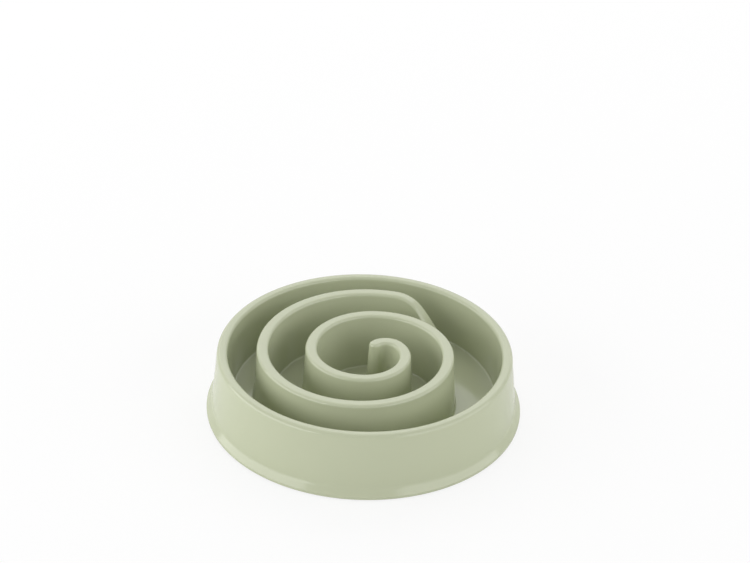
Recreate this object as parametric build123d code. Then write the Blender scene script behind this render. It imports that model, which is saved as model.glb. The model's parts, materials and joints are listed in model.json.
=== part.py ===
from build123d import *
import math
import os

# Slow feeder bowl: one hollow moulding with a spiral ridge on its floor, standing on rubber feet.
# Millimetres, +Z up. The origin is on the table, under the middle of the bowl.

# Bowl shell, from the foot flange inwards
base_diameter = 210.0
bowl_height = 45.0
lip_height = 1.9
lip_round = 0.6
flare_width = 3.6
flare_rise = 4.7
flare_blend = 5.0
skirt_lean = 3.8
wall = 2.4
rim_slot = 1.9
rim_thickness = 3.0
rim_outer_round = 3.0
rim_inner_round = 2.4
rim_round_shares = (0.5, 0.45)
bowl_lean = 2.9
floor_height = 10.4
floor_wall = 2.6
floor_fillet = 1.2

# Spiral ridge on the floor, which stands a little higher than the rim
ridge_rise = 4.2
ridge_wall = 2.2
ridge_core = 3.1
ridge_draft = 3.2
ridge_round = 2.2
crown_round_share = 0.9
ridge_foot_fillet = 1.2
edge_gap = 15.1

# How far the ridge's foot fillet dips into the floor, so that the two surfaces cross cleanly
foot_bite = 0.05

# The ridge's path is a chain of quarter arcs, listed from the inside outwards. Each radius is a
# share of the pitch, which the free floor sets. A small hook ends the path.
coil_radius_shares = (0.693, 0.917, 1.167, 1.417, 1.617, 1.96, 2.15, 2.353)
coil_reach_share = 2.2487
coil_side_share = 0.085
hook_clear = 3.0
hook_turn = 50.0
hook_lead = 47.0

# The outer end of the ridge runs down to the floor as a ramp
tail_radius_share = 2.45
tail_lead = 29.4
ramp_slope = 50.9
ramp_bend = 23.7

# Rubber feet and their sockets
foot_count = 6
foot_standoff = 0.8
foot_diameter = 9.0
foot_sole_round = 1.0
socket_clearance = 0.1
socket_wall = 1.5
socket_recess = 1.0

# One overrun serves every cut
overrun = 1.0

# Sizes that follow from those above
base_radius = base_diameter / 2
lip_top = foot_standoff + lip_height
flare_top = lip_top + flare_rise
skirt_foot_radius = base_radius - flare_width
rim_radius = skirt_foot_radius - skirt_lean
rim_width = wall + rim_slot + wall
mouth_radius = rim_radius - rim_width
floor_radius = mouth_radius - bowl_lean
floor_underside = floor_height - floor_wall
rim_underside = bowl_height - rim_thickness

ridge_top = bowl_height + ridge_rise
ridge_half_width = ridge_wall + ridge_core / 2
top_round = min(ridge_round, crown_round_share * ridge_half_width)
draft_slope = math.tan(math.radians(ridge_draft))
run_out_level = floor_height - foot_bite
ridge_root_half = ridge_half_width + (ridge_top - run_out_level) * draft_slope
ridge_foot_half = ridge_root_half + ridge_foot_fillet
ridge_base = floor_height - floor_wall / 2

coil_reach = floor_radius - edge_gap - ridge_root_half
coil_pitch = coil_reach / coil_reach_share
hook_radius = ridge_foot_half + hook_clear

ramp_angle = math.radians(ramp_slope)
ramp_run = (ridge_top - ridge_base) / math.tan(ramp_angle)
bend_start = tail_lead - ramp_bend

foot_seat = floor_underside
socket_radius = foot_diameter / 2 + socket_clearance
boss_radius = socket_radius + socket_wall
boss_mouth = foot_standoff + socket_recess


def skirt_radius(height):
    """Outer radius of the skirt at a height."""
    share = (height - flare_top) / (bowl_height - flare_top)
    return skirt_foot_radius - share * skirt_lean


def mouth_wall_radius(height):
    """Radius of the inner wall's face at a height."""
    share = (height - floor_height) / (bowl_height - floor_height)
    return floor_radius + share * bowl_lean


def spun(points, radii):
    """A solid of revolution about Z from an outline in (radius, height)."""
    outline = FilletPolyline(*points, radius=radii, close=True)
    face = make_face(Plane.XZ * outline)
    return revolve(face, Axis.Z)


def upper_outline():
    """The moulding's outside, from the flange's lower edge over the rim to the middle of the floor."""
    points = [
        (base_radius, foot_standoff),
        (base_radius, lip_top),
        (skirt_foot_radius, flare_top),
        (rim_radius, bowl_height),
        (mouth_radius, bowl_height),
        (floor_radius, floor_height),
        (0, floor_height),
    ]
    rim_rounds = [
        min(rim_outer_round, rim_round_shares[0] * rim_width),
        min(rim_inner_round, rim_round_shares[1] * rim_width),
    ]
    return points, [lip_round, lip_round, flare_blend] + rim_rounds + [floor_fillet, 0]


def shell_body():
    """The hollow moulding without its ridge: flange, skirt, rim, inner wall and floor."""
    points, radii = upper_outline()
    points += [
        (0, floor_underside),
        (mouth_wall_radius(floor_underside) + wall, floor_underside),
        (mouth_wall_radius(rim_underside) + wall, rim_underside),
        (skirt_radius(rim_underside) - wall, rim_underside),
        (skirt_foot_radius - wall, flare_top),
        (base_radius - wall, lip_top),
        (base_radius - wall, foot_standoff),
    ]
    radii += [0, floor_fillet, 0, 0, flare_blend, 0, 0]
    return spun(points, radii)


def envelope():
    """All the room between the moulding's outside and the plane of the flange's lower edge."""
    points, radii = upper_outline()
    return spun(points + [(0, foot_standoff)], radii + [0])


def coil_arcs():
    """The ridge's path from the outer end inwards, as (centre, radius, first angle, last angle)."""
    x = coil_side_share * coil_pitch
    y = coil_reach
    angle = 90.0
    arcs = []
    for share in reversed(coil_radius_shares[1:]):
        radius = share * coil_pitch
        x, y, angle = add_arc(arcs, x, y, angle, radius, 90.0)
    x, y, angle = add_arc(arcs, x, y, angle, coil_radius_shares[0] * coil_pitch, 90.0 - hook_turn)
    add_arc(arcs, x, y, angle, hook_radius, hook_turn + hook_lead)
    return arcs


def add_arc(arcs, x, y, angle, radius, turn):
    """Add one arc that goes on from a point, turning anticlockwise, and give its far end."""
    direction = math.radians(angle)
    centre = (x - radius * math.cos(direction), y - radius * math.sin(direction))
    arcs.append((centre, radius, angle, angle + turn))
    far = math.radians(angle + turn)
    return centre[0] + radius * math.cos(far), centre[1] + radius * math.sin(far), angle + turn


def tail_arc(first, last):
    """A stretch of the ridge's outer end, between two lengths along its path."""
    radius = tail_radius_share * coil_pitch
    centre = (coil_side_share * coil_pitch, coil_reach - radius)
    angles = [90.0 - math.degrees(length / radius) for length in (last, first)]
    return centre, radius, angles[0], angles[1]


def section_plane(centre, angle):
    """The upright plane through an arc's centre: its X points outwards and its Y points up."""
    direction = math.radians(angle)
    outwards = (math.cos(direction), math.sin(direction), 0)
    return Plane(origin=(*centre, 0), x_dir=outwards, z_dir=(outwards[1], -outwards[0], 0))


def swept(outline, arc):
    """Sweep a ridge section, drawn about the path's middle line, along one arc."""
    centre, radius, first, last = arc
    face = make_face(section_plane(centre, first) * Pos(radius, 0) * outline)
    return revolve(face, Axis((*centre, 0), (0, 0, 1)), revolution_arc=last - first)


def ridge_outline():
    """The ridge's section: a rounded top on leaning walls that run out into the floor."""
    right = [
        (ridge_foot_half, ridge_base),
        (ridge_foot_half, run_out_level),
        (ridge_root_half, run_out_level),
        (ridge_half_width, ridge_top),
    ]
    left = [(-x, z) for x, z in reversed(right)]
    radii = [0, 0, ridge_foot_fillet, top_round]
    return FilletPolyline(*right, *left, radius=radii + radii[::-1], close=True)


def core_outline():
    """The section of the hollow inside the ridge, open at the floor's underside."""
    top = ridge_top - ridge_wall
    bottom = floor_underside - overrun
    half = ridge_core / 2
    foot_half = half + (top - bottom) * draft_slope
    points = [(foot_half, bottom), (half, top), (-half, top), (-foot_half, bottom)]
    return Polyline(*points, close=True)


def hook_nose(arc):
    """The ridge's inner end: half of its section, turned round the end of the path into a nose."""
    centre, radius, _, last = arc
    points = [
        (0, ridge_base),
        (ridge_foot_half, ridge_base),
        (ridge_foot_half, run_out_level),
        (ridge_root_half, run_out_level),
        (ridge_half_width, ridge_top),
        (0, ridge_top),
    ]
    outline = FilletPolyline(*points, radius=[0, 0, 0, ridge_foot_fillet, top_round, 0], close=True)
    path_end = section_plane(centre, last) * Pos(radius, 0)
    face = make_face(path_end * outline)
    return revolve(face, Axis(path_end.position, (0, 0, 1)), revolution_arc=180)


def ramp_keep(inset):
    """The room under the ramp and the ridge's top, both lowered by an inset, along the tail."""
    centre, radius, last, first = tail_arc(tail_lead, tail_lead + ramp_run)
    heading = (first + last) / 2
    start = math.radians(first)
    corner = (centre[0] + radius * math.cos(start), centre[1] + radius * math.sin(start))
    back = -inset * math.tan(ramp_angle / 2)
    reach = 2 * ramp_run
    drop = reach * math.tan(ramp_angle)
    points = [
        (back - tail_lead, ridge_top - inset),
        (back, ridge_top - inset),
        (back + reach, ridge_top - inset - drop),
        (back - tail_lead, ridge_top - inset - drop),
    ]
    bend = max(ramp_bend - inset, 0)
    outline = FilletPolyline(*points, radius=[0, bend, 0, 0], close=True)
    direction = math.radians(heading)
    along = (math.sin(direction), -math.cos(direction), 0)
    across = (-math.cos(direction), -math.sin(direction), 0)
    face = make_face(Plane(origin=(*corner, 0), x_dir=along, z_dir=across) * outline)
    return extrude(face, amount=ridge_foot_half + ramp_run, both=True)


def bare_outline():
    """The ridge's section with no rounding and no run-out at its foot."""
    base_half = ridge_half_width + (ridge_top - ridge_base) * draft_slope
    right = [(base_half, ridge_base), (ridge_half_width, ridge_top)]
    left = [(-x, z) for x, z in reversed(right)]
    return Polyline(*right, *left, close=True)


def foot_outline():
    """The low part of the ridge's section, kept just inside it, which runs out into the floor."""
    root_half = ridge_root_half - foot_bite
    foot_half = ridge_foot_half - foot_bite
    level = run_out_level - foot_bite
    top = level + ridge_foot_fillet
    right = [
        (foot_half, ridge_base),
        (foot_half, level),
        (root_half, level),
        (root_half - (top - level) * draft_slope, top),
    ]
    left = [(-x, z) for x, z in reversed(right)]
    radii = [0, 0, ridge_foot_fillet, 0]
    return FilletPolyline(*right, *left, radius=radii + radii[::-1], close=True)


def rounded_ramp(arc):
    """The sloping end of the ridge, with its two long upper edges rounded."""
    ramp = swept(bare_outline(), arc) & ramp_keep(0)
    least_rise = math.cos(ramp_angle) / 2
    sides = [edge for face in ramp.faces().filter_by(GeomType.CONE) for edge in face.edges()]
    tops = [face for face in ramp.faces() - ramp.faces().filter_by(GeomType.CONE)
            if face.normal_at().Z > least_rise]
    edges = [edge for face in tops for edge in face.edges() if edge in sides]
    return fillet(edges, radius=top_round)


def tail():
    """The ridge's outer end, from the last full arc down to the floor."""
    lead = swept(ridge_outline(), tail_arc(0, bend_start))
    slope_arc = tail_arc(bend_start, tail_lead + ramp_run + ramp_bend)
    run_out = swept(foot_outline(), slope_arc) & ramp_keep(top_round)
    return [lead, rounded_ramp(slope_arc), run_out]


def spiral_ridge():
    """The whole ridge, as solid bar: its coil, its hooked inner end and its ramped outer end."""
    arcs = coil_arcs()
    coil = [swept(ridge_outline(), arc) for arc in arcs]
    return Part() + coil + [hook_nose(arcs[-1])] + tail()


def ridge_hollow():
    """The hollow inside the ridge, open at the floor's underside."""
    arcs = coil_arcs() + [tail_arc(0, bend_start)]
    hollow = [swept(core_outline(), arc) for arc in arcs]
    slope_arc = tail_arc(bend_start, tail_lead + ramp_run)
    return Part() + hollow + [swept(core_outline(), slope_arc) & ramp_keep(ridge_wall)]


def foot_places():
    """Where the feet stand, midway between the inner wall and the skirt."""
    inner = mouth_wall_radius(foot_seat) + wall
    outer = skirt_radius(flare_top) - wall
    return PolarLocations((inner + outer) / 2, foot_count, start_angle=-90)


def upright(radius, bottom, top):
    """A round bar about Z between two heights."""
    return Pos(0, 0, bottom) * extrude(Circle(radius), amount=top - bottom)


def bowl_shell():
    """The whole moulding: shell, hollow ridge and foot sockets."""
    boss = upright(boss_radius, boss_mouth, floor_height)
    room = envelope()
    bosses = [(place * boss) & room for place in foot_places()]
    socket = upright(socket_radius, boss_mouth - overrun, foot_seat)
    sockets = [place * socket for place in foot_places()]
    return shell_body() + spiral_ridge() - ridge_hollow() + bosses - sockets


def rubber_foot():
    """One plug-shaped rubber foot: a plain stem with a rounded sole."""
    radius = foot_diameter / 2
    points = [(0, 0), (radius, 0), (radius, foot_seat), (0, foot_seat)]
    return spun(points, [0, foot_sole_round, 0, 0])


os.makedirs("parts", exist_ok=True)
export_step(bowl_shell(), "parts/bowl_shell.step")
for number, place in enumerate(foot_places(), start=1):
    export_step(place * rubber_foot(), f"parts/foot_{number}.step")
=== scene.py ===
# %% [markdown]
# # A slow feeder bowl, modelled as by hand
# The real bowl is one plastic moulding: a flared foot, a leaning skirt, a rounded rim, a sunk feeding
# floor, and a tall spiral ridge that makes a dog eat slowly. Six rubber feet are pressed in underneath.
# The CAD frame holds those pieces at their real size. Here they are modelled again as fine meshes in the
# same place, because the looks of such a bowl live in smooth round edges that catch the light.

# %% Load the frame
import json
import math

import bpy
from mathutils import Euler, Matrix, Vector


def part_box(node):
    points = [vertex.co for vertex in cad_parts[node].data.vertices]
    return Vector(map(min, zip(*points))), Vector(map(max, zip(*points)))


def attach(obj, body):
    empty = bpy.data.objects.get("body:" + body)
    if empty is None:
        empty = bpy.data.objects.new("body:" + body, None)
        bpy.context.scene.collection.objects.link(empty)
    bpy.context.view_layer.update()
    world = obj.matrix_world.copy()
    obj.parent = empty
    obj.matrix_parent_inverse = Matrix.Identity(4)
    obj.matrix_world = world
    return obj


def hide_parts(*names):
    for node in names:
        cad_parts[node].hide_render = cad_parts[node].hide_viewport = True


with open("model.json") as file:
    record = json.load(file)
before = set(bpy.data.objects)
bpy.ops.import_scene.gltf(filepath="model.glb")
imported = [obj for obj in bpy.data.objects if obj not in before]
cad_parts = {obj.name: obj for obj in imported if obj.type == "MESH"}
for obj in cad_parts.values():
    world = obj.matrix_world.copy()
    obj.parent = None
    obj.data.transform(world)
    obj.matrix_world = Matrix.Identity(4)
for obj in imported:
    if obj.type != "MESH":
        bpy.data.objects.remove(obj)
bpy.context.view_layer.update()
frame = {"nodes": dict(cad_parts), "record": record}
mm = 0.001
print("CAD nodes:", ", ".join(sorted(frame["nodes"])))

# %% [markdown]
# ## The camera
# A product shot like this one is taken from far away with a long lens, so the bowl's ellipses hardly
# taper. The camera first looks at the middle of the base, then tilts up, which leaves the bowl low in
# the picture, and rolls a little, because the photographer's tripod was not quite level.

# %% Camera
camera_distance = 1479.4 * mm
camera_elevation = math.radians(34.93)
camera_tilt = math.radians(3.218)
camera_pan = math.radians(-0.212)
camera_roll = math.radians(1.566)
camera_lens = 105.6
aim_height = 0.8 * mm

camera_data = bpy.data.cameras.new("product_camera")
camera_data.lens = camera_lens
camera = bpy.data.objects.new("product_camera", camera_data)
bpy.context.scene.collection.objects.link(camera)
camera.location = (
    0,
    -camera_distance * math.cos(camera_elevation),
    camera_distance * math.sin(camera_elevation) + aim_height,
)
level_view = Euler((math.radians(90) - camera_elevation + camera_tilt, 0, 0)).to_matrix()
sideways = Euler((0, camera_pan, 0)).to_matrix()
rolled = Euler((0, 0, camera_roll)).to_matrix()
camera.rotation_euler = (level_view @ sideways @ rolled).to_euler()
bpy.context.scene.camera = camera
print("Camera stands", round(camera.location.length, 3), "m from the bowl")

# %% [markdown]
# ## Drawing an outline with operators
# A moulding is easiest to think of as a section that is turned or swept. To draw a section by hand, a
# plane is merged to one point, and that point is extruded from corner to corner. Each corner is then
# rounded by a vertex bevel. A bevel wants to know how far to cut back along the edges, which for a
# round of a given radius depends on how sharply the outline turns there.

# %% Outline helpers
weld = 0.002 * mm


def pick(piece, test):
    """Select, in edit mode, just the vertices that pass a test."""
    bpy.context.view_layer.objects.active = piece
    bpy.ops.object.mode_set(mode="OBJECT")
    mesh = piece.data
    for items in (mesh.edges, mesh.polygons):
        items.foreach_set("select", [False] * len(items))
    mesh.vertices.foreach_set("select", [test(vertex) for vertex in mesh.vertices])
    bpy.ops.object.mode_set(mode="EDIT")


def draw_outline(name, points):
    """A new piece that is one open line through the points, left in edit mode."""
    if bpy.context.object and bpy.context.object.mode == "EDIT":
        bpy.ops.object.mode_set(mode="OBJECT")
    bpy.ops.object.select_all(action="DESELECT")
    bpy.ops.mesh.primitive_plane_add(size=mm, location=points[0])
    piece = bpy.context.object
    piece.name = name
    bpy.ops.object.transform_apply()
    bpy.ops.object.mode_set(mode="EDIT")
    bpy.ops.mesh.select_mode(type="VERT")
    bpy.ops.mesh.select_all(action="SELECT")
    bpy.ops.mesh.merge(type="CENTER")
    for here, there in zip(points, points[1:]):
        step = Vector(there) - Vector(here)
        bpy.ops.mesh.extrude_region_move(TRANSFORM_OT_translate={"value": step})
    return piece


def round_corner(piece, point, radius, segments):
    """Turn one corner of an outline into an arc."""
    corner = Vector(point)
    pick(piece, lambda vertex: (vertex.co - corner).length < weld)
    mesh = piece.data
    number = next(v.index for v in mesh.vertices if (v.co - corner).length < weld)
    ends = [mesh.vertices[i].co for edge in mesh.edges if number in edge.vertices
            for i in edge.vertices if i != number]
    turn = (corner - ends[0]).angle(ends[1] - corner)
    reach = radius * math.tan(turn / 2)
    bpy.ops.mesh.bevel(offset_type="OFFSET", offset=reach, segments=segments, affect="VERTICES")


def turn_about(centre, angle, steps):
    """Spin what is selected about an upright line; a positive angle goes anticlockwise from above."""
    axis = (0, 0, -1) if angle > 0 else (0, 0, 1)
    bpy.ops.mesh.spin(steps=steps, angle=abs(angle), center=(*centre, 0), axis=axis)


def weld_all(piece):
    """Merge points that lie on each other, and turn all faces outwards."""
    pick(piece, lambda vertex: True)
    bpy.ops.mesh.remove_doubles(threshold=weld)
    bpy.ops.mesh.normals_make_consistent(inside=False)
    bpy.ops.object.mode_set(mode="OBJECT")
    print(f"{piece.name}: {len(piece.data.vertices)} points, {len(piece.data.polygons)} faces")


# %% [markdown]
# ## The shell
# Flange, skirt, rim, inner wall and the edge of the floor are one wall of plastic about 2.4 mm thick
# that folds over at the rim. A stack of cylinders would need many joins, so the whole wall is drawn
# once as an outline, from the floor's upper face over the rim to the floor's underside, and spun round
# the upright axis. The floor itself stays open for now, because the spiral has to grow out of it.

# %% Shell outline and spin
base_radius = 105 * mm
bowl_height = 45 * mm
foot_standoff = 0.8 * mm
lip_height = 1.9 * mm
flare_rise = 4.7 * mm
flare_width = 3.6 * mm
skirt_lean = 3.8 * mm
wall = 2.4 * mm
rim_width = 6.7 * mm
rim_thickness = 3 * mm
bowl_lean = 2.9 * mm
floor_height = 10.4 * mm
floor_wall = 2.6 * mm
floor_fillet = 1.2 * mm
lip_round = 0.6 * mm
edge_round = 0.3 * mm
flare_blend = 5 * mm
rim_outer_round = 3 * mm
rim_inner_round = 2.4 * mm
shell_steps = 360
small_round_segments = 4
large_round_segments = 9

lip_top = foot_standoff + lip_height
flare_top = lip_top + flare_rise
skirt_foot_radius = base_radius - flare_width
rim_radius = skirt_foot_radius - skirt_lean
mouth_radius = rim_radius - rim_width
floor_radius = mouth_radius - bowl_lean
floor_underside = floor_height - floor_wall
rim_underside = bowl_height - rim_thickness


def between(first, last, height):
    """Radius at a height on the straight line between two (radius, height) points."""
    share = (height - first[1]) / (last[1] - first[1])
    return first[0] + share * (last[0] - first[0])


skirt_line = ((skirt_foot_radius, flare_top), (rim_radius, bowl_height))
bowl_line = ((floor_radius, floor_height), (mouth_radius, bowl_height))
shell_corners = [
    (floor_radius - floor_fillet, floor_height, 0),
    (floor_radius, floor_height, floor_fillet),
    (mouth_radius, bowl_height, rim_inner_round),
    (rim_radius, bowl_height, rim_outer_round),
    (skirt_foot_radius, flare_top, flare_blend),
    (base_radius, lip_top, lip_round),
    (base_radius, foot_standoff, lip_round),
    (base_radius - wall, foot_standoff, edge_round),
    (base_radius - wall, lip_top, edge_round),
    (skirt_foot_radius - wall, flare_top, flare_blend),
    (between(*skirt_line, rim_underside) - wall, rim_underside, edge_round),
    (between(*bowl_line, rim_underside) + wall, rim_underside, edge_round),
    (between(*bowl_line, floor_underside) + wall, floor_underside, floor_fillet),
    (floor_radius - floor_fillet, floor_underside, 0),
]
bowl = draw_outline("bowl_moulding", [(radius, 0, height) for radius, height, _ in shell_corners])
for radius, height, rounding in shell_corners:
    if rounding:
        round_segments = small_round_segments if rounding < mm else large_round_segments
        round_corner(bowl, (radius, 0, height), rounding, round_segments)
pick(bowl, lambda vertex: True)
turn_about((0, 0), math.tau, shell_steps)
weld_all(bowl)

# %% [markdown]
# ## The spiral's path
# The ridge follows a chain of quarter arcs whose radius shrinks at each quarter turn, so that each arc
# leaves the last one in the same direction. That is how a draughtsman draws a spiral with compasses,
# and it suits the spin operator, which sweeps a section about one centre at a time. The inner end
# turns tighter still, into a small hook.

# %% Path of arcs
ridge_rise = 4.2 * mm
ridge_half = 3.75 * mm
ridge_draft = math.tan(math.radians(3.2))
ridge_round = 2.2 * mm
foot_fillet = 1.2 * mm
edge_gap = 15.1 * mm
hook_clear = 3 * mm
hook_turn = math.radians(50)
hook_lead = math.radians(47)
coil_radius_shares = (2.353, 2.15, 1.96, 1.617, 1.417, 1.167, 0.917, 0.693)
coil_reach_share = 2.2487
coil_side_share = 0.085
tail_radius_share = 2.45

ridge_top = bowl_height + ridge_rise
ridge_root_half = ridge_half + (ridge_top - floor_height) * ridge_draft
ridge_foot_half = ridge_root_half + foot_fillet
coil_reach = floor_radius - edge_gap - ridge_root_half
coil_pitch = coil_reach / coil_reach_share
path_start = Vector((coil_side_share * coil_pitch, coil_reach))
quarter = math.radians(90)


def unit(angle):
    """The level direction at an angle from +X."""
    return Vector((math.cos(angle), math.sin(angle)))


def path_arcs():
    """The path from the outer end inwards: (centre, radius, turn) of each arc, its end and end angle."""
    turns = [(share * coil_pitch, quarter) for share in coil_radius_shares]
    turns[-1] = (turns[-1][0], quarter - hook_turn)
    turns.append((ridge_foot_half + hook_clear, hook_turn + hook_lead))
    point = path_start
    angle = quarter
    arcs = []
    for radius, turn in turns:
        centre = point - radius * unit(angle)
        arcs.append((centre, radius, turn))
        angle += turn
        point = centre + radius * unit(angle)
    return arcs, point, angle


arcs, path_end, end_angle = path_arcs()
print(f"Spiral: {len(arcs)} arcs, {sum(radius * turn for _, radius, turn in arcs):.3f} m long")

# %% [markdown]
# ## The ridge
# The ridge is a wall with a softly rounded top, sides that lean by a few degrees so that the moulding
# leaves its tool, and a fillet where it meets the floor. Its section is drawn where the path crosses
# the back of the bowl, and swept arc by arc. The inner end is closed as on the real part: half of the
# section is spun half a turn about the end of the path, which gives a round nose.

# %% Ridge section and sweep
sweep_step = 1.4 * mm
least_arc_steps = 8
nose_steps = 24


def across_start(points):
    """Section points, drawn about the path's middle line, as places at the start of the path."""
    return [(path_start.x, path_start.y + offset, height) for offset, height in points]


def sweep_coil(step):
    """Spin the selected section along every arc of the path."""
    for centre, radius, turn in arcs:
        turn_about(centre, turn, max(least_arc_steps, round(radius * turn / step)))


def ridge_section(name):
    """The ridge's section as a piece, from foot to foot, with its rounds and fillets."""
    half = [
        (ridge_foot_half, floor_height),
        (ridge_root_half, floor_height),
        (ridge_half, ridge_top),
        (0, ridge_top),
    ]
    other = [(-offset, height) for offset, height in reversed(half[:-1])]
    section = draw_outline(name, across_start(half + other))
    for side in (1, -1):
        root, crown = across_start([(side * ridge_root_half, floor_height), (side * ridge_half, ridge_top)])
        round_corner(section, root, foot_fillet, large_round_segments)
        round_corner(section, crown, ridge_round, large_round_segments)
    pick(section, lambda vertex: True)
    return section


def close_hook(piece):
    """Close the inner end with a round nose."""
    outward = unit(end_angle)
    onward = unit(end_angle + quarter)

    def on_outer_half(vertex):
        place = vertex.co.xy - path_end
        return abs(place.dot(onward)) < weld and -weld < place.dot(outward) < ridge_foot_half + weld

    pick(piece, on_outer_half)
    turn_about(path_end, 2 * quarter, nose_steps)


ridge = ridge_section("spiral_ridge")
sweep_coil(sweep_step)
close_hook(ridge)
weld_all(ridge)

# %% [markdown]
# ## The ramp at the outer end
# The outer end runs down to the floor as a ramp. It could be cut off with a plane and bevelled, but a
# bevel that runs into the foot fillet breaks easily. So the section is swept on past the ramp, and
# each of its rings is brought down to the ramp's height with the move and scale operators. The crown
# keeps its round edges all the way, and the sides stay on their lean.

# %% Ramp
tail_lead = 29.4 * mm
ramp_slope = math.radians(50.9)
ramp_bend = 23.7 * mm
tail_step = 0.8 * mm
tail_radius = tail_radius_share * coil_pitch
tail_centre = path_start - tail_radius * unit(quarter)
half_slope = math.tan(ramp_slope / 2)


def ramp_length(inset, base, blend):
    """Length along the path at which the tail, or a face below it, has come down to its base."""
    knee = tail_lead - inset * half_slope
    return knee + (ridge_top - inset - base) / math.tan(ramp_slope) + blend * half_slope


def ramp_height(length, inset, base, blend):
    """Height of the tail's crown at a length along its path, or of a face a given inset below it."""
    bend = ramp_bend - inset
    top = ridge_top - inset
    knee = tail_lead - inset * half_slope
    past = length - (knee - bend * half_slope)
    left = ramp_length(inset, base, blend) - length
    if past <= 0:
        return top
    if past < bend * math.sin(ramp_slope):
        return top - bend + math.sqrt(bend ** 2 - past ** 2)
    if left < blend * math.sin(ramp_slope):
        return base + blend - math.sqrt(max(blend ** 2 - max(left, 0) ** 2, 0))
    return top - (length - knee) * math.tan(ramp_slope)


def sweep_tail(piece, inset, base, blend, least):
    """Sweep the selected section along the tail, and bring each ring down to the ramp."""
    length = ramp_length(inset, base, blend)
    steps = round(length / tail_step)
    turn_about(tail_centre, -length / tail_radius, steps)
    bpy.ops.object.mode_set(mode="OBJECT")
    rings = {}
    for vertex in piece.data.vertices:
        place = vertex.co.xy - tail_centre
        angle = quarter - math.atan2(place.y, place.x)
        rings.setdefault(round(angle * tail_radius / length * steps), set()).add(vertex.index)
    crown_height = ridge_top - inset
    middle_height = (crown_height + base) / 2
    for number, ring in rings.items():
        along = number * length / steps
        height = ramp_height(along, inset, base, blend)
        drop = crown_height - max(height, base + least)
        if drop < weld:
            continue
        middle = (*(tail_centre + tail_radius * unit(quarter - along / tail_radius)), base)
        pick(piece, lambda vertex: vertex.index in ring and vertex.co.z > middle_height)
        spread = 1 + drop * ridge_draft / ridge_half
        bpy.ops.transform.translate(value=(0, 0, -drop))
        bpy.ops.transform.resize(value=(spread, spread, 1), center_override=middle)
        if height < base + least:
            squash = max(height - base, 0) / least
            pick(piece, lambda vertex: vertex.index in ring)
            bpy.ops.transform.resize(value=(1, 1, squash), center_override=middle)
    print(f"{piece.name}: {len(rings)} rings, {length:.4f} m of tail")


ramp = ridge_section("spiral_ramp")
sweep_tail(ramp, 0, floor_height, foot_fillet, foot_fillet + ridge_round)
weld_all(ramp)

# %% [markdown]
# ## The floor
# The ridge's foot and the wall's foot are now open edges at the floor's height. Joined into one mesh,
# they bound the whole feeding floor, and one fill closes it. A boolean union would give the same shape,
# but the fill keeps every fillet's own rings, so the shading stays clean where ridge and floor meet.

# %% Join and fill the floor


def join(target, others):
    """Make the others part of the target's mesh."""
    bpy.ops.object.mode_set(mode="OBJECT")
    bpy.ops.object.select_all(action="DESELECT")
    for piece in (target, *others):
        piece.select_set(True)
    bpy.context.view_layer.objects.active = target
    bpy.ops.object.join()


def fill_level(piece, height):
    """Close the flat face that the open edges at a height bound."""
    pick(piece, lambda vertex: False)
    bpy.ops.mesh.select_non_manifold(use_wire=False, use_multi_face=False, use_non_contiguous=False,
                                     use_verts=False)
    bpy.ops.object.mode_set(mode="OBJECT")
    open_edge = {vertex.index for vertex in piece.data.vertices if vertex.select}
    pick(piece, lambda vertex: vertex.index in open_edge and abs(vertex.co.z - height) < weld)
    bpy.ops.mesh.fill(use_beauty=True)
    bpy.ops.object.mode_set(mode="OBJECT")


join(bowl, [ridge, ramp])
weld_all(bowl)
fill_level(bowl, floor_height)
weld_all(bowl)

# %% [markdown]
# ## The hollow underneath
# Thick plastic shrinks and leaves dents, so such a ridge is moulded hollow: from below it shows as a
# narrow spiral slot. Its section is a plain tapered slot with round corners at the top. It follows the
# same path and the same ramp, one wall's thickness further in, and the floor's underside is filled round it.

# %% Hollow of the ridge
ridge_wall = 2.2 * mm
slot_top = ridge_top - ridge_wall
slot_half = ridge_half - ridge_wall
slot_foot_half = slot_half + (slot_top - floor_underside) * ridge_draft
slot_round = 0.8 * mm
slot_step = 2.5 * mm


def slot_section(name):
    """The section of the hollow, open at the floor's underside."""
    half = [(slot_foot_half, floor_underside), (slot_half, slot_top)]
    other = [(-offset, height) for offset, height in reversed(half)]
    section = draw_outline(name, across_start(half + other))
    for place in across_start([(slot_half, slot_top), (-slot_half, slot_top)]):
        round_corner(section, place, slot_round, small_round_segments)
    pick(section, lambda vertex: True)
    return section


slot = slot_section("ridge_slot")
sweep_coil(slot_step)
bpy.ops.mesh.edge_face_add()
slot_ramp = slot_section("ridge_slot_ramp")
sweep_tail(slot_ramp, ridge_wall, floor_underside, 0, slot_round * 2)
join(bowl, [slot, slot_ramp])
weld_all(bowl)
fill_level(bowl, floor_underside)
weld_all(bowl)

# %% [markdown]
# ## Foot sockets and moulding marks
# Six sockets stand between the skirt and the inner wall and hold the rubber feet. Round marks under the
# channels are where ejector pins push the part out of its tool, and the nub in the middle is where the
# plastic came in. All are simple round bars, so booleans add and cut them.

# %% Sockets and marks
foot_nodes = sorted(node for node in frame["nodes"] if node.startswith("foot_"))
foot_boxes = {node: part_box(node) for node in foot_nodes}
socket_clearance = 0.1 * mm
socket_wall = 1.5 * mm
socket_recess = 1 * mm
pin_radius = 3 * mm
pin_height = 0.15 * mm
gate_radius = 1.6 * mm
gate_height = 0.9 * mm
overrun = 1 * mm
foot_sides = 64
pin_sides = 40
gate_sides = 32


def round_bar(place, radius, low, high, sides):
    """An upright round bar between two heights, as a new object with its place in its mesh."""
    bpy.ops.object.select_all(action="DESELECT")
    middle = (place.x, place.y, (low + high) / 2)
    bpy.ops.mesh.primitive_cylinder_add(vertices=sides, radius=radius, depth=high - low, location=middle)
    bpy.ops.object.transform_apply()
    return bpy.context.object


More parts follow.
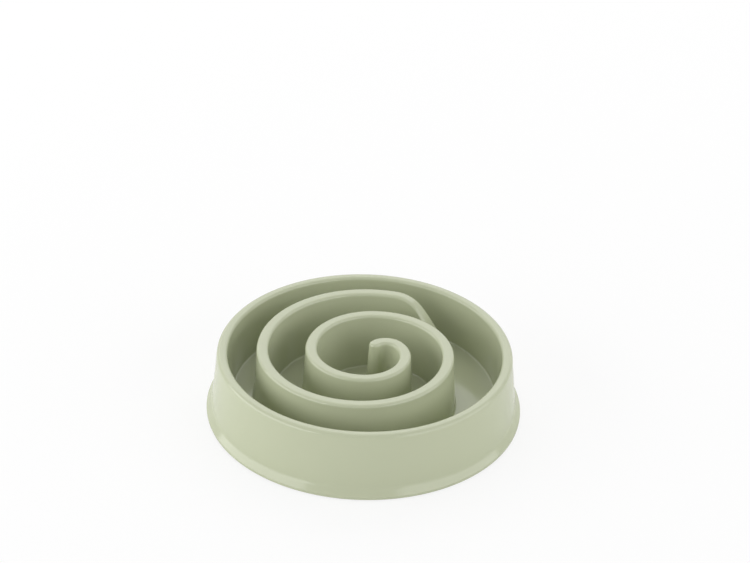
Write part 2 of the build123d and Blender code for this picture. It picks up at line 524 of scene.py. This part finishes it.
def carve(piece, bars, operation):
    """Add a group of bars to a piece or cut it from it, and remove the group."""
    join(bars[0], bars[1:])
    bpy.context.view_layer.objects.active = piece
    cutter = piece.modifiers.new(operation.lower(), "BOOLEAN")
    cutter.operation = operation
    cutter.object = bars[0]
    bpy.ops.object.modifier_apply(modifier=cutter.name)
    bpy.data.objects.remove(bars[0])


foot_radius = (foot_boxes[foot_nodes[0]][1].x - foot_boxes[foot_nodes[0]][0].x) / 2
socket_radius = foot_radius + socket_clearance
foot_places = {node: (low + high) / 2 for node, (low, high) in foot_boxes.items()}
socket_mouth = foot_standoff + socket_recess
openings = frame["record"]["physics"]["openings"]
channel_places = [(Vector(box["box_m"][0]) + Vector(box["box_m"][1])) / 2 for box in openings
                  if "channel" in box["name"]]
bars = [round_bar(place, socket_radius + socket_wall, socket_mouth, floor_height, foot_sides)
        for place in foot_places.values()]
bars += [round_bar(place, pin_radius, floor_underside - pin_height, floor_underside + pin_height, pin_sides)
         for place in channel_places]
gate_low = floor_underside - gate_height
bars.append(round_bar(Vector((0, 0)), gate_radius, gate_low, floor_height - overrun, gate_sides))
carve(bowl, bars, "UNION")
sockets = [round_bar(place, socket_radius, socket_mouth - overrun, floor_underside, foot_sides)
           for place in foot_places.values()]
carve(bowl, sockets, "DIFFERENCE")
weld_all(bowl)

# %% [markdown]
# ## Smooth shading
# The mesh is fine enough to be shaded smooth. Faces that meet at more than a set angle stay sharp, such
# as the socket mouths. Weighted normals let the large flat and conical faces keep their own direction,
# so that only the small faces of each round bend the light.

# %% Shading
sharp_angle = math.radians(35)


def shade(piece):
    """Smooth shading with sharp edges kept, weighted by the size of the faces."""
    bpy.ops.object.select_all(action="DESELECT")
    piece.select_set(True)
    bpy.context.view_layer.objects.active = piece
    bpy.ops.object.shade_smooth_by_angle(angle=sharp_angle)
    weighted = piece.modifiers.new("weighted", "WEIGHTED_NORMAL")
    weighted.keep_sharp = True
    bpy.ops.object.modifier_apply(modifier=weighted.name)


shade(bowl)
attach(bowl, "root")
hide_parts("bowl_shell")

# %% [markdown]
# ## The rubber feet
# Each foot is a short plug of soft rubber. It starts as a cylinder of the CAD foot's size, its sole gets
# a round edge by a bevel, and an inset face is pressed in a little, so that only a ring and the middle
# touch the table. One foot is modelled, and the others are copies with a mesh of their own.

# %% Feet
sole_round = 1 * mm
sole_segments = 6
ring_width = 1.1 * mm
groove_width = 0.8 * mm
groove_depth = 0.35 * mm


def pick_sole(foot, radius):
    """Select the flat face at the middle of the sole, up to a radius."""
    sole = min(vertex.co.z for vertex in foot.data.vertices)
    middle = foot_places[foot_nodes[0]].xy
    pick(foot, lambda vertex: vertex.co.z < sole + weld and (vertex.co.xy - middle).length < radius + weld)


def first_foot():
    """The rubber foot at the first CAD foot's place."""
    low, high = foot_boxes[foot_nodes[0]]
    foot = round_bar(foot_places[foot_nodes[0]], foot_radius, low.z, high.z, foot_sides)
    pick_sole(foot, foot_radius)
    bpy.ops.mesh.bevel(offset=sole_round, segments=sole_segments, affect="EDGES")
    pick_sole(foot, foot_radius)
    bpy.ops.mesh.inset(thickness=ring_width)
    bpy.ops.mesh.inset(thickness=groove_width / 2)
    bpy.ops.transform.translate(value=(0, 0, groove_depth))
    bpy.ops.mesh.inset(thickness=groove_width / 2)
    bpy.ops.transform.translate(value=(0, 0, -groove_depth))
    bpy.ops.object.mode_set(mode="OBJECT")
    return foot


foot = first_foot()
shade(foot)
feet = []
for node in foot_nodes:
    copy = bpy.data.objects.new(f"rubber_{node}", foot.data.copy())
    bpy.context.scene.collection.objects.link(copy)
    copy.location = foot_places[node] - foot_places[foot_nodes[0]]
    bpy.ops.object.select_all(action="DESELECT")
    copy.select_set(True)
    bpy.context.view_layer.objects.active = copy
    bpy.ops.object.transform_apply()
    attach(copy, "root")
    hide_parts(node)
    feet.append(copy)
bpy.data.objects.remove(foot)
print(f"{len(feet)} rubber feet")

# %% [markdown]
# ## Writing materials as sums
# A material is a tree of nodes. Wiring it by hand is slow to read, so one small class stands for an
# output socket: adding, subtracting or multiplying makes a Math node, and its node method makes any
# other node from its settings and its inputs.

# %% Socket class


class Signal:
    """An output socket of a material's nodes, which takes part in Python sums."""

    def __init__(self, tree, socket=None):
        self.tree = tree
        self.socket = socket

    def node(self, kind, settings=None, inputs=None, output=0):
        """Make a node, set it up, feed its sockets with numbers, colours or signals, and give an output."""
        made = self.tree.nodes.new(kind)
        for name, value in (settings or {}).items():
            setattr(made, name, value)
        for name, value in (inputs or {}).items():
            if isinstance(value, Signal):
                self.tree.links.new(value.socket, made.inputs[name])
            else:
                made.inputs[name].default_value = value
        return Signal(self.tree, made.outputs[output])

    def sum(self, operation, first, second):
        return self.node("ShaderNodeMath", {"operation": operation}, {0: first, 1: second})

    def __add__(self, other):
        return self.sum("ADD", self, other)

    def __radd__(self, other):
        return self.sum("ADD", other, self)

    def __sub__(self, other):
        return self.sum("SUBTRACT", self, other)

    def __mul__(self, other):
        return self.sum("MULTIPLY", self, other)


def new_material(name):
    """An empty material with its output node, and a signal to start from."""
    material = bpy.data.materials.new(name)
    material.use_nodes = True
    material.node_tree.nodes.clear()
    output = material.node_tree.nodes.new("ShaderNodeOutputMaterial")
    return material, Signal(material.node_tree), output


def noise(start, place, scale, detail):
    """Smooth noise from 0 to 1 with a given number of features in a metre."""
    return start.node("ShaderNodeTexNoise", inputs={"Vector": place, "Scale": scale, "Detail": detail})


# %% [markdown]
# ## Satin plastic
# The bowl is moulded in one pale sage colour with a satin skin. Up close such a skin is never perfectly
# even: the tool's fine blasting leaves a grain of a few thousandths of a millimetre, the plastic shrinks
# into a soft waviness, and the pigment and the gloss drift a little from place to place. The grain and
# the waviness are bump, the drift goes to colour and roughness. Each noise has its own scale, in
# features per metre, and its own detail, in octaves.

# %% Plastic
plastic_colour = (0.515, 0.549, 0.386, 1)
plastic_deep = (0.500, 0.534, 0.371, 1)
plastic_roughness = 0.13
gloss_drift = 0.08
plastic_ior = 1.5
grain_height = 0.004 * mm
wave_height = 0.03 * mm
drift_noise = (14, 3)
gloss_noise = (55, 4)
grain_noise = (2600, 2)
wave_noise = (85, 1)
noise_middle = 0.5


def satin_plastic():
    """Pale sage moulded plastic with a satin skin."""
    material, start, output = new_material("satin_plastic")
    place = start.node("ShaderNodeTexCoord", output="Object")
    drift = noise(start, place, *drift_noise)
    gloss = noise(start, place, *gloss_noise)
    grain = noise(start, place, *grain_noise)
    wave = noise(start, place, *wave_noise)
    colour = start.node("ShaderNodeMix", {"data_type": "RGBA"},
                        {0: drift, 6: plastic_colour, 7: plastic_deep}, output=2)
    bump = start.node("ShaderNodeBump", inputs={"Height": wave * wave_height + grain * grain_height,
                                                "Distance": 1.0, "Strength": 1.0})
    shader = start.node("ShaderNodeBsdfPrincipled", inputs={
        "Base Color": colour,
        "Roughness": plastic_roughness + (gloss - noise_middle) * gloss_drift,
        "Normal": bump,
        "IOR": plastic_ior,
    })
    material.node_tree.links.new(shader.socket, output.inputs["Surface"])
    return material


bowl.data.materials.clear()
bowl.data.materials.append(satin_plastic())

# %% [markdown]
# ## Rubber
# The feet are a dark, matt rubber. Such rubber gets a pale bloom, a fine powder that comes to its surface,
# so a small noise lightens the colour and roughens the skin where the bloom is thick.

# %% Rubber
rubber_colour = (0.075, 0.085, 0.062, 1)
rubber_light = (0.105, 0.118, 0.088, 1)
rubber_roughness = 0.6
bloom_roughness = 0.2
bloom_noise = (420, 4)
rubber_grain_noise = (3200, 2)


def foot_rubber():
    """Matt grey-green rubber with a dusty bloom."""
    material, start, output = new_material("foot_rubber")
    place = start.node("ShaderNodeTexCoord", output="Object")
    bloom = noise(start, place, *bloom_noise)
    grain = noise(start, place, *rubber_grain_noise)
    colour = start.node("ShaderNodeMix", {"data_type": "RGBA"},
                        {0: bloom, 6: rubber_colour, 7: rubber_light}, output=2)
    bump = start.node("ShaderNodeBump", inputs={"Height": grain * grain_height, "Distance": 1.0})
    shader = start.node("ShaderNodeBsdfPrincipled", inputs={
        "Base Color": colour,
        "Roughness": rubber_roughness + bloom * bloom_roughness,
        "Normal": bump,
    })
    material.node_tree.links.new(shader.socket, output.inputs["Surface"])
    return material


rubber = foot_rubber()
for piece in feet:
    piece.data.materials.clear()
    piece.data.materials.append(rubber)

# %% [markdown]
# ## Studio
# The bowl stands on white paper. Wide soft boxes stand to its left and right, which draw the long soft
# bands on the flare, and two more light it from behind and from above. Paper that is lit evenly looks
# white by itself; most of its light is given to the camera directly, so that the shadow stays as faint
# as in the studio. The world is a mid grey for the object's shading and white for what the camera and the
# gloss see.

# %% Floor, lights and world
floor_size = 8.0
paper_colour = (0.97, 0.97, 0.97, 1)
paper_glow = 0.8
world_light = 0.45


def paper():
    """White studio paper that still takes the bowl's shadow."""
    material, start, output = new_material("studio_paper")
    diffuse = start.node("ShaderNodeBsdfDiffuse", inputs={"Color": paper_colour})
    glow = start.node("ShaderNodeEmission", inputs={"Color": (1, 1, 1, 1), "Strength": 1.0})
    seen = start.node("ShaderNodeLightPath", output="Is Camera Ray")
    mixed = start.node("ShaderNodeMixShader", inputs={0: seen * paper_glow, 1: diffuse, 2: glow})
    material.node_tree.links.new(mixed.socket, output.inputs["Surface"])
    return material


bpy.ops.object.select_all(action="DESELECT")
bpy.ops.mesh.primitive_plane_add(size=floor_size)
floor = bpy.context.object
floor.name = "studio_floor"
floor.data.materials.append(paper())


def soft_box(name, place, size, power):
    """A large lamp that faces the bowl: its place and size in metres, its power in watts."""
    lamp = bpy.data.lights.new(name, "AREA")
    lamp.shape = "RECTANGLE"
    lamp.size, lamp.size_y = size
    lamp.energy = power
    box = bpy.data.objects.new(name, lamp)
    bpy.context.scene.collection.objects.link(box)
    box.location = place
    box.rotation_euler = (-Vector(place)).to_track_quat("-Z", "Y").to_euler()


soft_box("left_box", (-1.45, -0.45, 0.56), (2.6, 0.95), 19.4)
soft_box("right_box", (1.38, -0.6, 0.7), (2.4, 1.0), 13.7)
soft_box("back_box", (0, 1.3, 0.95), (2.6, 1.1), 8.8)
soft_box("top_box", (0, 0.7, 1.5), (2.6, 1.8), 6.5)

world = bpy.data.worlds.new("studio_world")
bpy.context.scene.world = world
world.use_nodes = True
sky = Signal(world.node_tree)
world.node_tree.nodes.clear()
ray = world.node_tree.nodes.new("ShaderNodeLightPath")
camera_ray = Signal(world.node_tree, ray.outputs["Is Camera Ray"])
glossy_ray = Signal(world.node_tree, ray.outputs["Is Glossy Ray"])
clear_ray = Signal(world.node_tree, ray.outputs["Is Transmission Ray"])
white = sky.sum("MAXIMUM", sky.sum("MAXIMUM", camera_ray, glossy_ray), clear_ray)
background = sky.node("ShaderNodeBackground", inputs={"Strength": world_light + white * (1 - world_light)})
world_output = world.node_tree.nodes.new("ShaderNodeOutputWorld")
world.node_tree.links.new(background.socket, world_output.inputs["Surface"])
bpy.context.scene.view_settings.view_transform = "Standard"
